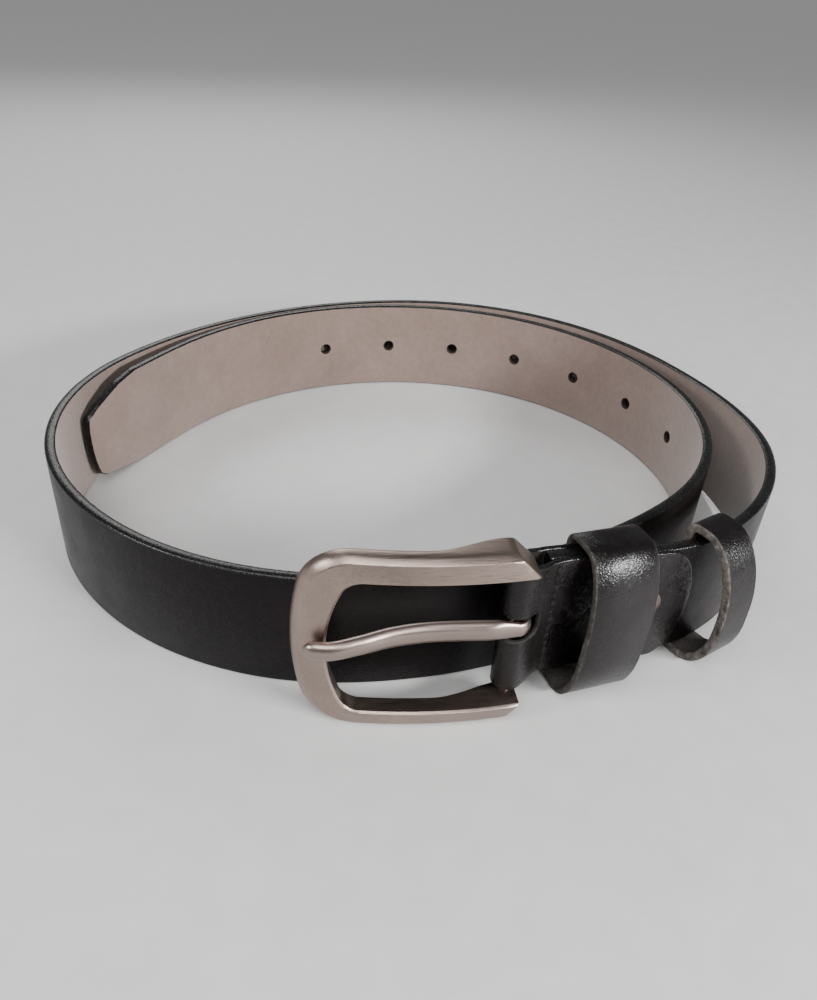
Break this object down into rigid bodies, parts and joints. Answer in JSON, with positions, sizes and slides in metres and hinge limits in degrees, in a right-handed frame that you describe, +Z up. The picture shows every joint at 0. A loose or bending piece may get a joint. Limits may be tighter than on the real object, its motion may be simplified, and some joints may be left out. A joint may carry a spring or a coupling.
{
  "type": "leather dress belt",
  "caption": "Plain leather dress belt lying on its edge in a loose coil, with a curved prong buckle, a fixed keeper and a sliding keeper",
  "frame": {"origin": "middle of the belt's footprint, on the surface it lies on", "axes": "+Z up off the table; -Y towards the side where the buckle stands; -X towards the buckle's bow; metres"},
  "size_m": [0.2422, 0.22, 0.0564],
  "materials": {
    "strap_leather": "smooth black grain outside, warm grey flesh side, black painted edges",
    "chape_leather": "fine pebbled black grain",
    "keeper_leather": "glossy pebbled black grain",
    "satin_metal": "satin brushed warm grey nickel",
    "bright_metal": "smooth nickel",
    "thread": "black waxed thread"
  },
  "bodies": {
    "strap": {"strap": "strap_leather", "chape": "chape_leather", "fixed_keeper": "keeper_leather", "fixed_keeper_staple_1": "bright_metal", "fixed_keeper_staple_2": "bright_metal", "stud": "satin_metal", "stud_back": "bright_metal", "front_thread": "thread", "back_thread": "thread"},
    "buckle": {"buckle_frame": "satin_metal", "heel_bar": "bright_metal"},
    "prong": {"prong": "satin_metal"},
    "loose_keeper": {"loose_keeper": "keeper_leather", "loose_keeper_staple": "bright_metal"}
  },
  "joints": [
    {"name": "buckle_hinge", "type": "hinge", "parent": "strap", "child": "buckle", "pos_m": [0.01403, -0.10017, 0.0282], "axis": [0, 0, 1], "range_deg": [-4, 40]},
    {"name": "prong_hinge", "type": "hinge", "parent": "buckle", "child": "prong", "pos_m": [0.01403, -0.10017, 0.0303], "axis": [0, 0, 1], "range_deg": [0, 80]},
    {"name": "keeper_slide", "type": "hinge", "parent": "strap", "child": "loose_keeper", "pos_m": [0.03965, -0.00883, 0.0227], "axis": [0, 0, 1], "range_deg": [-4, 30]}
  ]
}
